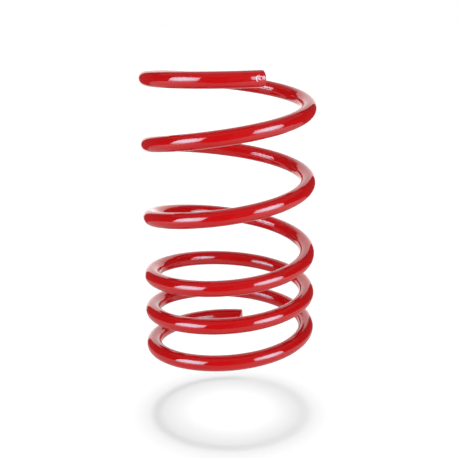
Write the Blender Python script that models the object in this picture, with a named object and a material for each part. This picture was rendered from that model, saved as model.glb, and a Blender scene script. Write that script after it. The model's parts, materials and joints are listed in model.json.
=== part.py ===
"""Suspension coil spring: one bar of round spring steel wound into a right-handed helix and powder coated.

The bar has open ends cut square, flat end turns for the two spring seats, closely wound lower
turns and widely wound upper turns. It is held as short stretches of bar, an eighth of a turn
each, so that every stretch can slide along the coil's axis as the spring is compressed.

Metres, +Z up. The origin is on the coil's axis, in the plane that the lowest turn rests on.
Turns are counted from the lower cut end, and the helix climbs to the right as seen from -Y.
"""

import math

import bmesh
import bpy
from mathutils import Matrix

WIRE_DIAMETER = 0.013
COIL_RADIUS = 0.067  # from the coil's axis to the middle of the wire
TURNS = 5.592
LOWER_END_ANGLE = math.radians(80)  # where the bar's lower end is cut, from +X towards +Y

# Height gained in a turn, and where along the bar it changes, in turns from the lower end
LOWER_END_PITCH = 0.003
TIGHT_PITCH = 0.032
WIDE_PITCH = 0.062
UPPER_END_PITCH = 0.0045
LOWER_END_RAMP = (0.0, 0.44)
TIGHT_TO_WIDE = (2.45, 2.86)
UPPER_END_RAMP = (4.785, 5.6)

STRETCHES_PER_TURN = 8
STRETCH_GAP = 0.0003
WIRE_SIDES = 12
STEPS_PER_STRETCH = 5
LOWER_END_STRETCHES = 4
UPPER_END_STRETCHES = 3

WIRE_RADIUS = WIRE_DIAMETER / 2
GAP_TURNS = STRETCH_GAP / (math.tau * COIL_RADIUS)
SMOOTH_UP_TO = math.radians(40)

# Sides of the coil, anticlockwise from above, starting with the side that the lower end points to
SIDES = ("back", "back_left", "left", "front_left", "front", "front_right", "right", "back_right")

PITCH_CHANGES = (
    (LOWER_END_RAMP, TIGHT_PITCH - LOWER_END_PITCH),
    (TIGHT_TO_WIDE, WIDE_PITCH - TIGHT_PITCH),
    (UPPER_END_RAMP, UPPER_END_PITCH - WIDE_PITCH),
)


def along(turn, ramp):
    """How far a point is through a ramp, from 0 to 1."""
    start, end = ramp
    return min(max((turn - start) / (end - start), 0.0), 1.0)


def pitch_at(turn):
    """Height gained per turn at a point of the bar, which changes by smooth steps."""
    pitch = LOWER_END_PITCH
    for ramp, change in PITCH_CHANGES:
        x = along(turn, ramp)
        pitch += change * x * x * (3 - 2 * x)
    return pitch


def height_at(turn):
    """Height of the middle of the wire, the pitch summed up from the lower end."""
    height = WIRE_RADIUS + LOWER_END_PITCH * turn
    for ramp, change in PITCH_CHANGES:
        x = along(turn, ramp)
        start, end = ramp
        height += change * ((end - start) * (x**3 - x**4 / 2) + max(turn - end, 0.0))
    return height


def angle_at(turn):
    return LOWER_END_ANGLE + math.tau * turn


def stretch_name(index):
    turn, side = divmod(index, STRETCHES_PER_TURN)
    return f"turn_{turn + 1}_{SIDES[side]}"


def clear_scene():
    for obj in list(bpy.data.objects):
        bpy.data.objects.remove(obj, do_unlink=True)


def powder_coat():
    material = bpy.data.materials.new("red_powder_coat")
    material.use_nodes = True
    shader = material.node_tree.nodes["Principled BSDF"]
    shader.inputs["Base Color"].default_value = (0.56, 0.006, 0.012, 1.0)
    shader.inputs["Roughness"].default_value = 0.2
    shader.inputs["Metallic"].default_value = 0.0
    return material


def wire_stretch(name, start, end, material, collection):
    """One stretch of the bar: a round section swept up the helix, with both of its end faces in planes
    through the coil's axis, so that a neighbour can slide past along the axis."""
    middle = height_at((start + end) / 2)
    rise = height_at(end) - height_at(start)
    length = math.tau * COIL_RADIUS * (end - start)
    bm = bmesh.new()
    section = bmesh.ops.create_circle(bm, cap_ends=True, segments=WIRE_SIDES, radius=WIRE_RADIUS)
    # A plane through the axis cuts the sloping wire a little taller than it is round
    taller = math.hypot(rise, length) / length
    stand_up = Matrix.Rotation(math.pi / 2, 4, "X")
    to_start = Matrix.Translation((COIL_RADIUS, 0.0, height_at(start) - middle))
    turn_to_start = Matrix.Rotation(angle_at(start), 4, "Z")
    placing = turn_to_start @ to_start @ Matrix.Diagonal((1.0, 1.0, taller, 1.0)) @ stand_up
    bmesh.ops.transform(bm, matrix=placing, verts=section["verts"])
    bmesh.ops.spin(
        bm,
        geom=bm.verts[:] + bm.edges[:] + bm.faces[:],
        cent=(0.0, 0.0, 0.0),
        axis=(0.0, 0.0, 1.0),
        dvec=(0.0, 0.0, rise / STEPS_PER_STRETCH),
        angle=angle_at(end) - angle_at(start),
        steps=STEPS_PER_STRETCH,
    )
    bmesh.ops.recalc_face_normals(bm, faces=bm.faces[:])
    mesh = bpy.data.meshes.new(name)
    bm.to_mesh(mesh)
    bm.free()
    mesh.materials.append(material)
    mesh.shade_smooth()
    mesh.set_sharp_from_angle(angle=SMOOTH_UP_TO)
    stretch = bpy.data.objects.new(name, mesh)
    stretch.location = (0.0, 0.0, middle)
    collection.objects.link(stretch)
    return stretch


def seat_empty(name, height, collection):
    """Where a seat meets the end turn. The stretches that stay in that seat are its children."""
    seat = bpy.data.objects.new(name, None)
    seat.empty_display_size = COIL_RADIUS
    seat.location = (0.0, 0.0, height)
    collection.objects.link(seat)
    return seat


def put_in(seat, stretch):
    stretch.parent = seat
    stretch.matrix_parent_inverse = Matrix.Translation(-seat.location)


def main():
    clear_scene()
    collection = bpy.data.collections.new("coil_spring")
    bpy.context.scene.collection.children.link(collection)
    material = powder_coat()
    lower_seat = seat_empty("lower_seat", 0.0, collection)
    upper_seat = seat_empty("upper_seat", height_at(TURNS) + WIRE_RADIUS, collection)
    count = math.ceil(TURNS * STRETCHES_PER_TURN)
    for index in range(count):
        start = index / STRETCHES_PER_TURN
        end = min((index + 1) / STRETCHES_PER_TURN, TURNS)
        if index > 0:
            start += GAP_TURNS / 2
        if index < count - 1:
            end -= GAP_TURNS / 2
        stretch = wire_stretch(stretch_name(index), start, end, material, collection)
        if index < LOWER_END_STRETCHES:
            put_in(lower_seat, stretch)
        elif index >= count - UPPER_END_STRETCHES:
            put_in(upper_seat, stretch)


main()
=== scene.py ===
"""Suspension coil spring: the wire's fine surface, its powder coat and a plain pale studio round it.

The bar is one piece of steel from cut end to cut end, so it is wound here as one closed surface. It takes
the place of the stretches of bar that hold the motion, which are hidden. Metres, +Z up.
"""

import json
import math

import bmesh
import bpy
import numpy as np
from bpy.props import FloatProperty, FloatVectorProperty, IntProperty, PointerProperty
from mathutils import Matrix, Vector

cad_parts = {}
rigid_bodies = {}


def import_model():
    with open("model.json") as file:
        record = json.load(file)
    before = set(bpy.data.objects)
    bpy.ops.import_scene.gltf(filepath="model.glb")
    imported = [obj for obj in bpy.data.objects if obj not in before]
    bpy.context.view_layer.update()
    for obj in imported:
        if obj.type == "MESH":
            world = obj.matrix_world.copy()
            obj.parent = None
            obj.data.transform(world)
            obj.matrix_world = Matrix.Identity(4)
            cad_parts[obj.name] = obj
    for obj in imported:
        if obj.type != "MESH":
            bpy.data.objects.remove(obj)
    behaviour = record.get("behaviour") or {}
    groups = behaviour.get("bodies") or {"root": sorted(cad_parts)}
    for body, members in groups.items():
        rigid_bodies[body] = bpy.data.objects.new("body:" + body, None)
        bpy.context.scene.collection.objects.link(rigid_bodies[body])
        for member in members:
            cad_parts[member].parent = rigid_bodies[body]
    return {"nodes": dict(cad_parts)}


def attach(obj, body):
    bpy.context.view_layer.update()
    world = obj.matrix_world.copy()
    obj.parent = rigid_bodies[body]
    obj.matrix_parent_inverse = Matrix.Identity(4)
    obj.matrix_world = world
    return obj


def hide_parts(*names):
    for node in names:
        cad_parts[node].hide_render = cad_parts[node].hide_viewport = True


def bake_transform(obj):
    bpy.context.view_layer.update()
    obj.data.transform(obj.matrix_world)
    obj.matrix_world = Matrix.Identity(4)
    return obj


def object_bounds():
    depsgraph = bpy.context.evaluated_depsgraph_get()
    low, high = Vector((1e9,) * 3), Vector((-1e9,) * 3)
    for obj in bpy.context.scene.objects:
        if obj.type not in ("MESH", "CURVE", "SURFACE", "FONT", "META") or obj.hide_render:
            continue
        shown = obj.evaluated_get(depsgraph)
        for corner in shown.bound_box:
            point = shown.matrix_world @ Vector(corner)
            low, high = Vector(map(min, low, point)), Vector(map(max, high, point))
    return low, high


bl_info = {
    "name": "Coil Spring",
    "version": (1, 0, 0),
    "blender": (4, 5, 0),
    "location": "3D Viewport > Sidebar > Coil Spring",
    "description": "Winds a powder coated suspension spring and sets it in a plain studio",
    "category": "Object",
}

for startup_object in list(bpy.data.objects):
    bpy.data.objects.remove(startup_object, do_unlink=True)
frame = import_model()
CAD_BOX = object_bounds()

UPPER_BODY = "upper_end_turn"
MM = 0.001
MOST_STRAY = 1 * MM  # how far the wound wire may be from the stretches that it stands for
COIL_MIDDLE = 0.12  # height that the lights are aimed at
LAMP_DISTANCE = 3.0
ROOM_RADIUS = 8.0
ROOM_GLOW = 0.06
FLOOR_WIDTH = 40.0
PAPER_WHITE = 0.1  # how much of the overhead lamp the paper sends back
PAPER_GLOW = 0.58  # the rest of the paper's white, which the shadow doesn't darken
OVERHEAD_LAMP = 4.6 * math.pi
OVERHEAD_LAMP_WIDTH = math.radians(16)  # how soft the shadow is
PALE_PAPER_FROM = (0.0, -0.3, 0.1)
PALE_GREY = 0.6
PALE_FROM_TO = (-0.4, 0.6)  # share of +Y in a direction, where pale grey has turned to white
TABLE_HEIGHT = -0.1
TABLE_EDGE = (-0.62, -0.42)  # where the table's front rounds off, from dark to lit
TABLE_BOW = 0.5
TABLE_MIDDLE = 0.12  # distance of the table's dimmest line to the left of the spring
TABLE_GLOW = 0.58
TABLE_SIDE_GLOW = 1.3
TABLE_SIDE_REACH = 0.3
WHITE = (1, 1, 1)
SOFTBOX_COLOUR = (0.48, 1.0, 1.19)
# The softboxes: side, azimuth in degrees from -Y, shift sideways, and reach of the hot middle. Here and
# below, sizes are shares of the distance to the lamps.
SOFTBOXES = (("left", -55, -0.035, 0.62), ("right", 50, -0.005, 0.55))
SOFTBOX_SIZE = (0.76, 0.97)
SOFTBOX_RISE = 0.31
HOT_MIDDLE_HEIGHT = 0.56
FILL_RISE = 0.12
FILL_WIDER = 1.3
# Boards that the gloss shows: name, middle, point faced, width, height, glow in times paper white
GLOSS_BOARDS = (
    ("table_behind", (0, 0.9, TABLE_HEIGHT), (0, 0.9, 1), 2.4, 0.8, 1.4),
    ("backdrop", (0, 1.3, 0.6), (0, 0, 0.6), 2.4, 1.4, 1.5),
    ("backdrop_top", (0, 0.75, 1.8), (0, 0, 1), 1.2, 1.5, 0.7),
    ("ceiling", (0, -0.3, 3.0), (0, -0.3, 0), 7, 5, 0.26),
    ("front_wall", (1.2, -3.5, 1.0), (1.2, 0, 1.0), 2.2, 4.5, 0.16),
    ("flag_left", (-0.87, 0.4, 0.25), (-0.87, 0, 0.25), 1.2, 0.7, 0.08),
    ("flag_right", (0.86, 0.4, 0.25), (0.86, 0, 0.25), 1.2, 0.7, 0.08),
)
# Boards that light the coat's colour and don't show in its gloss, listed in the same way
FILL_BOARDS = (
    ("table_fill", (0, 0.35, TABLE_HEIGHT), (0, 0.35, 1), 2.6, 1.7, 0.36),
    ("front_fill", (-0.15, -1.4, -0.35), (0, 0, 0.1), 2.4, 1.2, 0.55),
    ("backdrop_fill", (0, 3, 1.2), (0, 0, 1.2), 3.2, 2.7, 3.2),
    ("ceiling_fill", (0, 0.5, 2.6), (0, 0.5, 0), 5, 5, 0.33),
)
BAR_ATTRIBUTE = "straight_bar"  # a point's place on the bar before it was wound
END_EDGE_STEPS = 6
END_FACE_SHARES = (0.8, 0.6, 0.4, 0.2)
MARK_STEPS = 28
MARK_SIDES = 12
MARK_SWEEP = (math.radians(85), math.radians(238))
MARK_TAPER = (math.radians(25), math.radians(165))  # the line is thin at its ends
GRAIN_WIDTH = 0.25 * MM


def hex_to_linear(code):
    """A colour written as sRGB hex, as the linear numbers that shaders take."""
    channels = [int(code[i : i + 2], 16) / 255 for i in (1, 3, 5)]
    return tuple(c / 12.92 if c <= 0.04045 else ((c + 0.055) / 1.055) ** 2.4 for c in channels)


# --- Sizes and colours that can be changed -----------------------------------------------------


class SpringWireSizes(bpy.types.PropertyGroup):
    wire_diameter: FloatProperty(
        name="Wire Diameter", description="Thickness of the round bar", default=0.013, unit="LENGTH"
    )
    coil_radius: FloatProperty(
        name="Coil Radius",
        description="From the coil's axis to the middle of the wire",
        default=0.067,
        unit="LENGTH",
    )
    turns: FloatProperty(name="Turns", description="Turns of wire from cut end to cut end", default=5.592)
    lower_end_angle: FloatProperty(
        name="Lower End Angle",
        description="Where the bar's lower end is cut, from +X towards +Y",
        default=math.radians(80),
        unit="ROTATION",
    )
    lower_end_pitch: FloatProperty(
        name="Lower End Pitch",
        description="Rise in a turn at the lower cut end",
        default=0.003,
        unit="LENGTH",
    )
    tight_pitch: FloatProperty(
        name="Tight Pitch",
        description="Rise in a turn of the closely wound turns",
        default=0.032,
        unit="LENGTH",
    )
    wide_pitch: FloatProperty(
        name="Wide Pitch",
        description="Rise in a turn of the widely wound turns",
        default=0.062,
        unit="LENGTH",
    )
    upper_end_pitch: FloatProperty(
        name="Upper End Pitch",
        description="Rise in a turn at the upper cut end",
        default=0.0045,
        unit="LENGTH",
    )
    lower_end_ramp: FloatVectorProperty(
        name="Lower End Ramp",
        description="Turns over which the lower end rises",
        size=2,
        default=(0.0, 0.44),
    )
    tight_to_wide: FloatVectorProperty(
        name="Tight to Wide",
        description="Turns over which the coil opens up",
        size=2,
        default=(2.45, 2.86),
    )
    upper_end_ramp: FloatVectorProperty(
        name="Upper End Ramp",
        description="Turns over which the upper end flattens",
        size=2,
        default=(4.785, 5.6),
    )
    edge_radius: FloatProperty(
        name="Edge Radius",
        description="Rounding of the coated edge of a cut end",
        default=0.0009,
        unit="LENGTH",
    )
    wire_sides: IntProperty(name="Wire Sides", description="Points round the wire", default=56)
    rings_per_turn: IntProperty(name="Rings per Turn", description="Sections in a turn of wire", default=132)


class HookMarkSizes(bpy.types.PropertyGroup):
    from_end: FloatProperty(
        name="From End",
        description="From the upper cut end to the hook mark",
        default=0.0062,
        unit="LENGTH",
    )
    rise: FloatProperty(
        name="Rise",
        description="How far the mark is above the middle of the wire's side",
        default=0.0005,
        unit="LENGTH",
    )
    height: FloatProperty(name="Height", description="Height of the hook mark", default=0.005, unit="LENGTH")
    width: FloatProperty(name="Width", description="Width of the hook mark", default=0.0025, unit="LENGTH")
    bead: FloatProperty(
        name="Bead", description="Thickness of the mark's raised line", default=0.0009, unit="LENGTH"
    )


class CoatFinish(bpy.types.PropertyGroup):
    full_colour: FloatVectorProperty(
        name="Full Colour",
        description="Where the coat is at its full thickness",
        subtype="COLOR",
        default=hex_to_linear("#C90B0F"),
    )
    thin_colour: FloatVectorProperty(
        name="Thin Colour",
        description="Where the coat is a little thinner",
        subtype="COLOR",
        default=hex_to_linear("#C20D13"),
    )
    refraction: FloatProperty(name="Refraction", description="Index of refraction of the resin", default=1.5)
    roughness: FloatProperty(
        name="Roughness", description="Of the glossy coat", default=0.06, subtype="FACTOR"
    )
    thickness_patch: FloatProperty(
        name="Thickness Patch",
        description="Length over which the coat's thickness drifts",
        default=0.035,
        unit="LENGTH",
    )
    peel_width: FloatProperty(
        name="Peel Width", description="Width of an orange peel wave", default=0.0028, unit="LENGTH"
    )
    peel_height: FloatProperty(
        name="Peel Height", description="Height of an orange peel wave", default=0.000007, unit="LENGTH"
    )
    drop_place: FloatVectorProperty(
        name="Drop Place",
        description="Along the bar, out and up from its middle, to the set drop",
        subtype="XYZ",
        unit="LENGTH",
        default=(2.3494, 0.00645, 0.0009),
    )
    drop_radius: FloatProperty(
        name="Drop Radius", description="Radius of the set drop", default=0.0017, unit="LENGTH"
    )
    drop_height: FloatProperty(
        name="Drop Height", description="How far the drop stands proud", default=0.0003, unit="LENGTH"
    )


class StudioSizes(bpy.types.PropertyGroup):
    camera_distance: FloatProperty(
        name="Camera Distance",
        description="From the coil's axis to the camera",
        default=0.681,
        unit="LENGTH",
    )
    camera_height: FloatProperty(
        name="Camera Height",
        description="From the lowest turn's plane to the camera",
        default=0.2933,
        unit="LENGTH",
    )
    camera_tilt: FloatProperty(
        name="Camera Tilt",
        description="How far the camera looks down",
        default=math.radians(14.94),
        unit="ROTATION",
    )
    camera_roll: FloatProperty(
        name="Camera Roll",
        description="How far the camera leans over",
        default=math.radians(-0.5),
        unit="ROTATION",
    )
    lens: FloatProperty(name="Lens", description="Focal length on a 36 mm sensor, in mm", default=64.3)
    softbox: FloatProperty(
        name="Softbox",
        description="Brightness of a softbox's middle, in times paper white",
        default=14.5,
    )
    fill_light: FloatProperty(
        name="Fill Light",
        description="Brightness of the lamps that light the coat's colour",
        default=3.7,
    )
    floor_drop: FloatProperty(
        name="Floor Drop",
        description="From the lowest turn down to the floor",
        default=0.06,
        unit="LENGTH",
    )


# --- Tools that several pieces share -----------------------------------------------------------


def add_node(tree, kind, settings=None, sockets=None):
    """Adds a node, sets its properties, and gives its input sockets a value or a link."""
    node = tree.nodes.new(kind)
    for name, value in (settings or {}).items():
        setattr(node, name, value)
    for name, value in (sockets or {}).items():
        if isinstance(value, bpy.types.NodeSocket):
            tree.links.new(value, node.inputs[name])
        else:
            node.inputs[name].default_value = value
    return node


def new_material(name):
    """An empty material and its node tree."""
    material = bpy.data.materials.new(name)
    material.use_nodes = True
    material.node_tree.nodes.clear()
    return material, material.node_tree


def new_object(name, vertices, faces, material=None):
    """A smooth shaded mesh object in the scene's collection."""
    mesh = bpy.data.meshes.new(name)
    mesh.from_pydata(np.asarray(vertices).tolist(), [], faces)
    mesh.validate()
    mesh.shade_smooth()
    if material is not None:
        mesh.materials.append(material)
    obj = bpy.data.objects.new(name, mesh)
    bpy.context.scene.collection.objects.link(obj)
    return obj


def tube_faces(rings, sides):
    """Quads between rings of points, and a fan at each end to the two points that follow the rings."""
    faces = []
    for ring in range(rings - 1):
        for side in range(sides):
            after = (side + 1) % sides
            low, high = ring * sides, (ring + 1) * sides
            faces.append((low + side, low + after, high + after, high + side))
    first_tip, last_tip, last = rings * sides, rings * sides + 1, (rings - 1) * sides
    for side in range(sides):
        after = (side + 1) % sides
        faces.append((first_tip, after, side))
        faces.append((last_tip, last + side, last + after))
    return faces


def keep_bar_places(obj, places):
    """Stores each point's place on the straight bar, so that a pattern follows the steel and not the coil."""
    attribute = obj.data.attributes.new(BAR_ATTRIBUTE, "FLOAT_VECTOR", "POINT")
    attribute.data.foreach_set("vector", np.asarray(places, np.float32).ravel())


# --- The line of the wire ----------------------------------------------------------------------


def pitch_changes(size):
    """Where along the bar the pitch changes, and by how much."""
    return (
        (size.lower_end_ramp, size.tight_pitch - size.lower_end_pitch),
        (size.tight_to_wide, size.wide_pitch - size.tight_pitch),
        (size.upper_end_ramp, size.upper_end_pitch - size.wide_pitch),
    )


def pitch_at(turn, size):
    """Rise in a turn at a point of the bar, in turns from its lower end."""
    pitch = size.lower_end_pitch + 0 * turn
    for (start, end), change in pitch_changes(size):
        x = np.clip((turn - start) / (end - start), 0, 1)
        pitch = pitch + change * x * x * (3 - 2 * x)
    return pitch


def height_at(turn, size):
    """Height of the middle of the wire, which is the pitch summed up from the lower end."""
    height = size.wire_diameter / 2 + size.lower_end_pitch * turn
    for (start, end), change in pitch_changes(size):
        x = np.clip((turn - start) / (end - start), 0, 1)
        height = height + change * ((end - start) * (x**3 - x**4 / 2) + np.maximum(turn - end, 0))
    return height


def wire_frames(turn, size):
    """The middle of the wire at each turn value, with its outward, upward and forward directions."""
    turn = np.asarray(turn, float)
    angle = size.lower_end_angle + math.tau * turn
    out = np.stack([np.cos(angle), np.sin(angle), 0 * angle], axis=1)
    middle = out * size.coil_radius
    middle[:, 2] = height_at(turn, size)
    around = np.stack([-np.sin(angle), np.cos(angle), 0 * angle], axis=1)
    forward = around * (math.tau * size.coil_radius)
    forward[:, 2] = pitch_at(turn, size)
    forward /= np.linalg.norm(forward, axis=1)[:, None]
    return middle, out, np.cross(out, forward), forward


def turn_length(size):
    """Length of wire in a turn, close enough for the bar's ends and for its patterns."""
    return math.tau * size.coil_radius


# --- Materials ---------------------------------------------------------------------------------


def powder_coat_material(finish):
    """Polyester powder, sprayed on shot peened steel and baked till it flows: a deep, even red under a
    clear mirror gloss, whose reflections waver a little with the orange peel."""
    material, tree = new_material("polyester_powder_coat_red")
    place = add_node(tree, "ShaderNodeAttribute", {"attribute_name": BAR_ATTRIBUTE}).outputs["Vector"]
    patches = add_node(
        tree,
        "ShaderNodeTexNoise",
        sockets={"Vector": place, "Scale": 1 / finish.thickness_patch, "Detail": 3.0, "Roughness": 0.6},
    )
    colour = add_node(
        tree,
        "ShaderNodeMix",
        {"data_type": "RGBA"},
        {"Factor": patches.outputs["Fac"]},
    )
    colour.inputs["A"].default_value = (*finish.full_colour, 1)
    colour.inputs["B"].default_value = (*finish.thin_colour, 1)
    gloss = add_node(
        tree,
        "ShaderNodeMapRange",
        sockets={
            "Value": patches.outputs["Fac"],
            "From Min": 0.3,
            "From Max": 0.7,
            "To Min": finish.roughness * 0.8,
            "To Max": finish.roughness * 1.3,
        },
    )
    # Orange peel is the coat's own wave, 2 to 3 mm wide on a thick powder coat
    peel = add_node(
        tree,
        "ShaderNodeTexNoise",
        sockets={"Vector": place, "Scale": 1 / finish.peel_width, "Detail": 1.0, "Roughness": 0.4},
    )
    waves = add_node(
        tree,
        "ShaderNodeBump",
        sockets={"Height": peel.outputs["Fac"], "Distance": finish.peel_height, "Strength": 1.0},
    )
    # A drop of molten powder that set beside the mark where the hook held the spring
    from_drop = add_node(
        tree, "ShaderNodeVectorMath", {"operation": "DISTANCE"}, {0: place, 1: finish.drop_place}
    )
    drop = add_node(
        tree,
        "ShaderNodeMapRange",
        {"interpolation_type": "SMOOTHSTEP"},
        {
            "Value": from_drop.outputs["Value"],
            "From Min": 0.0,
            "From Max": finish.drop_radius,
            "To Min": 1.0,
            "To Max": 0.0,
        },
    )
    bump = add_node(
        tree,
        "ShaderNodeBump",
        sockets={
            "Height": drop.outputs["Result"],
            "Distance": finish.drop_height,
            "Strength": 1.0,
            "Normal": waves.outputs["Normal"],
        },
    )
    shader = add_node(
        tree,
        "ShaderNodeBsdfPrincipled",
        sockets={
            "Base Color": colour.outputs["Result"],
            "Roughness": gloss.outputs["Result"],
            "IOR": finish.refraction,
            "Normal": bump.outputs["Normal"],
        },
    )
    add_node(tree, "ShaderNodeOutputMaterial", sockets={"Surface": shader.outputs["BSDF"]})
    return material


def hook_mark_painted_highlight_material():
    """The hook mark's pale pink, which is a painted highlight: a matt, near white film that stands for the
    lamps' gloss on the raised bead, rough and mottled with grains."""
    material, tree = new_material("hook_mark_painted_highlight")
    place = add_node(tree, "ShaderNodeAttribute", {"attribute_name": BAR_ATTRIBUTE}).outputs["Vector"]
    # Grains of about 0.05 mm, drawn five times as coarse so that they show, mottle the painted highlight's
    # two pale tints
    grains = add_node(
        tree, "ShaderNodeTexNoise", sockets={"Vector": place, "Scale": 1 / GRAIN_WIDTH, "Detail": 2.0}
    )
    colour = add_node(tree, "ShaderNodeMix", {"data_type": "RGBA"}, {"Factor": grains.outputs["Fac"]})
    # Near white and pale pink: the painted highlight on the bead
    colour.inputs["A"].default_value = (*hex_to_linear("#FFE9EE"), 1)
    colour.inputs["B"].default_value = (*hex_to_linear("#F4A9B4"), 1)
    shader = add_node(
        tree,
        "ShaderNodeBsdfPrincipled",
        sockets={"Base Color": colour.outputs["Result"], "Roughness": 0.55},
    )
    add_node(tree, "ShaderNodeOutputMaterial", sockets={"Surface": shader.outputs["BSDF"]})
    return material


# --- The pieces --------------------------------------------------------------------------------


def end_profile(size):
    """From the wire's side round the softened edge and over the cut face: (depth along the bar, radius)."""
    edge, radius = size.edge_radius, size.wire_diameter / 2
    profile = []
    for step in range(END_EDGE_STEPS + 1):
        angle = math.pi / 2 * step / END_EDGE_STEPS
        profile.append((edge * (1 - math.sin(angle)), radius - edge * (1 - math.cos(angle))))
    face = radius - edge
    for share in END_FACE_SHARES:
        profile.append((0.0, face * share))
    return profile


class OBJECT_OT_wind_spring_wire(bpy.types.Operator):
    """Wind the bar from cut end to cut end as one closed surface, and coat it"""

    bl_idname = "object.wind_spring_wire"
    bl_label = "Wind Spring Wire"

    def execute(self, context):
        size = context.scene.spring_wire
        sides = size.wire_sides
        profile = end_profile(size)
        depth = np.array([d for d, _ in profile]) / turn_length(size)
        radius = np.array([r for _, r in profile])
        body_rings = round(size.turns * size.rings_per_turn)
        body = np.linspace(depth[0], size.turns - depth[0], body_rings)[1:-1]
        turns = np.concatenate([depth[::-1], body, size.turns - depth])
        radii = np.concatenate([radius[::-1], np.full(len(body), size.wire_diameter / 2), radius])
        middle, out, up, forward = wire_frames(turns, size)
        angles = np.linspace(0, math.tau, sides, endpoint=False)
        side, top = np.cos(angles)[None, :, None], np.sin(angles)[None, :, None]
        around = side * out[:, None] + top * up[:, None]
        points = (middle[:, None] + radii[:, None, None] * around).reshape(-1, 3)
        tips = wire_frames([0.0, size.turns], size)[0]
        points = np.concatenate([points, tips])
        faces = tube_faces(len(turns), sides)
        wire = new_object("spring_wire", points, faces, powder_coat_material(context.scene.coat_finish))
        along = turns * turn_length(size)
        places = np.zeros((len(turns), sides, 3))
        places[:, :, 0] = along[:, None]
        places[:, :, 1] = radii[:, None] * np.cos(angles)
        places[:, :, 2] = radii[:, None] * np.sin(angles)
        tip_places = [[along[0], 0, 0], [along[-1], 0, 0]]
        keep_bar_places(wire, np.concatenate([places.reshape(-1, 3), tip_places]))
        for axis in range(3):
            for edge, pick in enumerate((min, max)):
                if abs(pick(points[:, axis]) - CAD_BOX[edge][axis]) > MOST_STRAY:
                    raise RuntimeError("the wire's sizes don't match the stretches that it stands for")
        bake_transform(wire)
        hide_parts(*frame["nodes"])
        return {"FINISHED"}


class OBJECT_OT_leave_hook_mark(bpy.types.Operator):
    """Leave the hook mark where the spring hung in the oven, near its upper end: a raised bead in pale pink,
    which is a painted highlight
    """

    bl_idname = "object.leave_hook_mark"
    bl_label = "Leave Hook Mark"

    def execute(self, context):
        size = context.scene.spring_wire
        mark = context.scene.hook_mark
        steps, sides = MARK_STEPS, MARK_SIDES
        # Along the bar and up round it: over the top of the hook, down its back and out to its tail
        sweep = np.linspace(*MARK_SWEEP, steps)
        along = mark.width * (0.5 + np.cos(sweep))
        rise = mark.rise + mark.height / 2 * np.sin(sweep)
        thick = mark.bead / 2 * np.sin(np.linspace(*MARK_TAPER, steps)) ** 0.5
        turn = size.turns - (mark.from_end - along) / turn_length(size)
        lean = rise / (size.wire_diameter / 2)
        middle, out, up, forward = wire_frames(turn, size)
        outward = np.cos(lean)[:, None] * out + np.sin(lean)[:, None] * up
        line = middle + outward * (size.wire_diameter / 2)
        way = np.gradient(line, axis=0)
        way /= np.linalg.norm(way, axis=1)[:, None]
        across = np.cross(outward, way)
        angles = np.linspace(0, math.tau, sides, endpoint=False)
        # The bead stands half its width proud, and its lower half is sunk in the coat
        side, top = np.cos(angles)[None, :, None], np.sin(angles)[None, :, None]
        ring = side * across[:, None] + top * outward[:, None]
        points = (line[:, None] + thick[:, None, None] * ring).reshape(-1, 3)
        points = np.concatenate([points, line[:1], line[-1:]])
        # The bead's pale colour is a painted highlight
        bead = new_object("hook_mark", points, tube_faces(steps, sides), hook_mark_painted_highlight_material())
        keep_bar_places(bead, points)
        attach(bead, UPPER_BODY)
        return {"FINISHED"}


# --- The studio --------------------------------------------------------------------------------


def glow_material(name, colour, strength, hot_spot=None):
    """Lit cloth or board. A hot spot is the half size, in metres, over which its glow falls to nothing."""
    material, tree = new_material(name)
    glow = add_node(tree, "ShaderNodeEmission", sockets={"Color": (*colour, 1), "Strength": strength})
    if hot_spot:
        place = add_node(tree, "ShaderNodeTexCoord").outputs["Object"]
        share = add_node(
            tree,
            "ShaderNodeVectorMath",
            {"operation": "DIVIDE"},
            {0: place, 1: (hot_spot[0], hot_spot[1], 1.0)},
        )
        square = add_node(
            tree,
            "ShaderNodeVectorMath",
            {"operation": "DOT_PRODUCT"},
            {0: share.outputs["Vector"], 1: share.outputs["Vector"]},
        )
        left = add_node(
            tree,
            "ShaderNodeMath",
            {"operation": "SUBTRACT", "use_clamp": True},
            {0: 1.0, 1: square.outputs["Value"]},
        )
        lit = add_node(
            tree,
            "ShaderNodeMath",
            {"operation": "MULTIPLY"},
            {0: left.outputs["Value"], 1: strength},
        )
        tree.links.new(lit.outputs["Value"], glow.inputs["Strength"])
    add_node(tree, "ShaderNodeOutputMaterial", sockets={"Surface": glow.outputs["Emission"]})
    return material


def pale_towards_the_front(tree, share):
    """White towards +Y and pale grey towards the sides and the front, for the walls and the floor alike, so
    that the white of a highlight stands out from every side."""
    level = add_node(
        tree,
        "ShaderNodeMapRange",
        {"interpolation_type": "SMOOTHSTEP"},
        {
            "Value": share,
            "From Min": PALE_FROM_TO[0],
            "From Max": PALE_FROM_TO[1],
            "To Min": PALE_GREY,
            "To Max": 1.0,
        },
    )
    return level.outputs["Result"]


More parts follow.
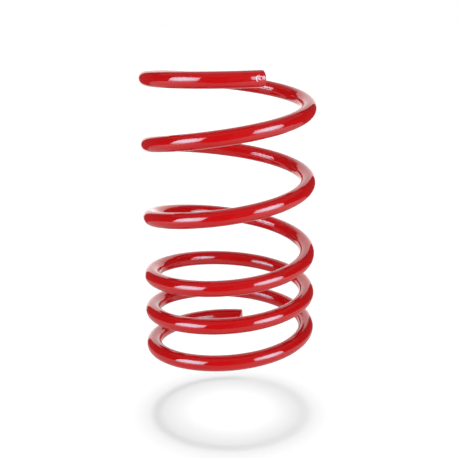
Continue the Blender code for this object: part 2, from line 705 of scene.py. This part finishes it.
def table_material():
    """White laminate between two softboxes, their light painted on it as its own glow: it glows most in
    front, on both sides, below each of them.
    """
    material, tree = new_material("white_table_painted_light")
    place = add_node(tree, "ShaderNodeNewGeometry").outputs["Position"]
    axes = add_node(tree, "ShaderNodeSeparateXYZ", sockets={"Vector": place})
    shifted = add_node(
        tree, "ShaderNodeMath", {"operation": "ADD"}, {0: axes.outputs["X"], 1: TABLE_MIDDLE}
    )
    absolute = add_node(tree, "ShaderNodeMath", {"operation": "ABSOLUTE"}, {0: shifted.outputs["Value"]})
    aside = absolute.outputs["Value"]
    sides = add_node(
        tree,
        "ShaderNodeMapRange",
        sockets={
            "Value": axes.outputs["Y"],
            "From Min": -TABLE_SIDE_REACH,
            "From Max": TABLE_SIDE_REACH,
            "To Min": TABLE_SIDE_GLOW,
            "To Max": 0.0,
        },
    )
    lit = add_node(
        tree,
        "ShaderNodeMath",
        {"operation": "MULTIPLY_ADD"},
        {0: aside, 1: sides.outputs["Result"], 2: TABLE_GLOW},
    )
    # Its front edge is bowed, and nearest in the middle
    bowed = add_node(
        tree, "ShaderNodeMath", {"operation": "MULTIPLY_ADD"}, {0: aside, 1: TABLE_BOW, 2: axes.outputs["Y"]}
    )
    edge = add_node(
        tree,
        "ShaderNodeMapRange",
        {"interpolation_type": "SMOOTHSTEP"},
        {"Value": bowed.outputs["Value"], "From Min": TABLE_EDGE[0], "From Max": TABLE_EDGE[1]},
    )
    strength = add_node(
        tree,
        "ShaderNodeMath",
        {"operation": "MULTIPLY"},
        {0: lit.outputs["Value"], 1: edge.outputs["Result"]},
    )
    # Painted light: the softboxes' pools of light on the table, drawn as the table's glow
    glow = add_node(
        tree,
        "ShaderNodeEmission",
        sockets={"Color": (*WHITE, 1), "Strength": strength.outputs["Value"]},
    )
    add_node(tree, "ShaderNodeOutputMaterial", sockets={"Surface": glow.outputs["Emission"]})
    return material


def board(name, middle, facing, width, height, material, gloss=False, matt=False):
    """A flat rectangle, its face turned towards a point, lit up for the coat's gloss or for its colour."""
    corners = [(x * width / 2, y * height / 2, 0.0) for x, y in ((-1, -1), (1, -1), (1, 1), (-1, 1))]
    obj = new_object(name, corners, [(0, 1, 2, 3)], material)
    look = Vector(facing) - Vector(middle)
    obj.matrix_world = Matrix.Translation(middle) @ look.to_track_quat("Z", "Y").to_matrix().to_4x4()
    show_only(obj, gloss, matt)
    return obj


def show_only(obj, gloss, matt):
    """Keeps a board or the room out of the camera's view."""
    obj.visible_camera = False
    obj.visible_shadow = False
    obj.visible_transmission = False
    obj.visible_volume_scatter = False
    obj.visible_glossy = gloss
    obj.visible_diffuse = matt


class SCENE_OT_set_spring_studio(bpy.types.Operator):
    """Set the pale floor, the soft lights and the camera round the spring"""

    bl_idname = "scene.set_spring_studio"
    bl_label = "Set Spring Studio"

    def execute(self, context):
        studio = context.scene.spring_studio
        scene = context.scene
        scene.view_settings.view_transform = "Standard"
        self.add_backdrop(scene)
        self.add_floor(studio)
        self.add_softboxes(studio)
        self.add_boards(studio)
        self.add_camera(scene, studio)
        return {"FINISHED"}

    def add_backdrop(self, scene):
        """White walls that turn to pale grey beside and ahead of the spring. They are for the camera only,
        since the boards light the spring."""
        world = bpy.data.worlds.new("white_studio")
        scene.world = world
        world.use_nodes = True
        tree = world.node_tree
        direction = add_node(tree, "ShaderNodeTexCoord").outputs["Generated"]
        axes = add_node(tree, "ShaderNodeSeparateXYZ", sockets={"Vector": direction})
        wall = pale_towards_the_front(tree, axes.outputs["Y"])
        tree.links.new(wall, tree.nodes["Background"].inputs["Color"])
        world.cycles_visibility.glossy = False
        world.cycles_visibility.diffuse = False

    def add_floor(self, studio):
        """White paper that glows, under a broad lamp straight above, which casts the soft ring of shadow."""
        material, tree = new_material("matt_white_paper")
        place = add_node(tree, "ShaderNodeNewGeometry").outputs["Position"]
        # Seen from a point ahead of the spring and above the paper, so that the tone has no hard edge
        ahead = add_node(
            tree, "ShaderNodeVectorMath", {"operation": "SUBTRACT"}, {0: place, 1: PALE_PAPER_FROM}
        )
        direction = add_node(
            tree, "ShaderNodeVectorMath", {"operation": "NORMALIZE"}, {0: ahead.outputs["Vector"]}
        )
        axes = add_node(tree, "ShaderNodeSeparateXYZ", sockets={"Vector": direction.outputs["Vector"]})
        pale = pale_towards_the_front(tree, axes.outputs["Y"])
        matt = add_node(
            tree, "ShaderNodeVectorMath", {"operation": "SCALE"}, {0: pale, "Scale": PAPER_WHITE}
        )
        paper = add_node(tree, "ShaderNodeBsdfDiffuse", sockets={"Color": matt.outputs["Vector"]})
        glow = add_node(tree, "ShaderNodeEmission", sockets={"Color": pale, "Strength": PAPER_GLOW})
        both = add_node(
            tree, "ShaderNodeAddShader", sockets={0: paper.outputs["BSDF"], 1: glow.outputs["Emission"]}
        )
        add_node(tree, "ShaderNodeOutputMaterial", sockets={"Surface": both.outputs["Shader"]})
        floor = board("floor", (0, 0, -studio.floor_drop), (0, 0, 1), FLOOR_WIDTH, FLOOR_WIDTH, material)
        floor.visible_camera = True
        lamp = bpy.data.lights.new("overhead_lamp", "SUN")
        lamp.energy = OVERHEAD_LAMP
        lamp.angle = OVERHEAD_LAMP_WIDTH
        lamp_object = bpy.data.objects.new("overhead_lamp", lamp)
        bpy.context.scene.collection.objects.link(lamp_object)
        lit = bpy.data.collections.new("lit_by_overhead_lamp")
        lit.objects.link(floor)
        lamp_object.light_linking.receiver_collection = lit

    def add_softboxes(self, studio):
        """Two softboxes in front, one on each side, with a hot middle that fades towards their edges."""
        width, height = (share * LAMP_DISTANCE for share in SOFTBOX_SIZE)
        for side, azimuth, across, fade in SOFTBOXES:
            turn = math.radians(azimuth)
            ahead = Vector((math.sin(turn), -math.cos(turn), 0))
            beside = Vector((math.cos(turn), math.sin(turn), 0))
            level = Vector((0, 0, COIL_MIDDLE))
            middle = level + LAMP_DISTANCE * (ahead + across * beside + Vector((0, 0, SOFTBOX_RISE)))
            spot = (fade * LAMP_DISTANCE, HOT_MIDDLE_HEIGHT * LAMP_DISTANCE)
            cloth = glow_material(f"softbox_cloth_{side}", SOFTBOX_COLOUR, studio.softbox, spot)
            board(f"softbox_{side}", middle, middle - ahead, width, height, cloth, gloss=True)
            middle = level + LAMP_DISTANCE * (ahead + across * beside + Vector((0, 0, FILL_RISE)))
            fill = glow_material(f"fill_cloth_{side}", WHITE, studio.fill_light)
            board(f"fill_{side}", middle, middle - ahead, width * FILL_WIDER, height, fill, matt=True)

    def add_boards(self, studio):
        """The table, the sheet behind it, the dark flags on both sides of that, and the dim room."""
        board("table", (0, -0.35, TABLE_HEIGHT), (0, -0.35, 1), 3, 1.7, table_material(), gloss=True)
        for name, middle, facing, width, height, strength in GLOSS_BOARDS:
            board(name, middle, facing, width, height, glow_material(name, WHITE, strength), gloss=True)
        for name, middle, facing, width, height, strength in FILL_BOARDS:
            board(name, middle, facing, width, height, glow_material(name, WHITE, strength), matt=True)
        bm = bmesh.new()
        bmesh.ops.create_uvsphere(bm, u_segments=24, v_segments=12, radius=ROOM_RADIUS)
        mesh = bpy.data.meshes.new("dim_room")
        bm.to_mesh(mesh)
        bm.free()
        mesh.materials.append(glow_material("dim_grey_wall", WHITE, ROOM_GLOW))
        room = bpy.data.objects.new("dim_room", mesh)
        bpy.context.scene.collection.objects.link(room)
        show_only(room, True, False)

    def add_camera(self, scene, studio):
        camera = bpy.data.objects.new("camera", bpy.data.cameras.new("camera"))
        scene.collection.objects.link(camera)
        camera.data.sensor_width = 36
        camera.data.lens = studio.lens
        camera.data.clip_start = 0.05
        camera.data.clip_end = 100
        stand = Matrix.Translation((0, -studio.camera_distance, studio.camera_height))
        tilt = Matrix.Rotation(math.pi / 2 - studio.camera_tilt, 4, "X")
        roll = Matrix.Rotation(studio.camera_roll, 4, "Z")
        camera.matrix_world = stand @ tilt @ roll
        scene.camera = camera


class VIEW3D_PT_coil_spring(bpy.types.Panel):
    bl_label = "Coil Spring"
    bl_space_type = "VIEW_3D"
    bl_region_type = "UI"
    bl_category = "Coil Spring"

    def draw(self, context):
        layout = self.layout
        for groups, operator in STEPS:
            box = layout.box()
            for group in groups:
                settings = getattr(context.scene, group)
                for name in settings.__annotations__:
                    box.prop(settings, name)
            box.operator(operator)


STEPS = (
    (("spring_wire", "coat_finish"), "object.wind_spring_wire"),
    (("hook_mark",), "object.leave_hook_mark"),
    (("spring_studio",), "scene.set_spring_studio"),
)
SETTINGS = {
    "spring_wire": SpringWireSizes,
    "hook_mark": HookMarkSizes,
    "coat_finish": CoatFinish,
    "spring_studio": StudioSizes,
}
CLASSES = (
    *SETTINGS.values(),
    OBJECT_OT_wind_spring_wire,
    OBJECT_OT_leave_hook_mark,
    SCENE_OT_set_spring_studio,
    VIEW3D_PT_coil_spring,
)


def register():
    for cls in CLASSES:
        bpy.utils.register_class(cls)
    for name, group in SETTINGS.items():
        setattr(bpy.types.Scene, name, PointerProperty(type=group))


def unregister():
    for name in SETTINGS:
        delattr(bpy.types.Scene, name)
    for cls in reversed(CLASSES):
        bpy.utils.unregister_class(cls)


def main():
    register()
    bpy.ops.object.wind_spring_wire()
    bpy.ops.object.leave_hook_mark()
    bpy.ops.scene.set_spring_studio()


if __name__ == "__main__":
    main()
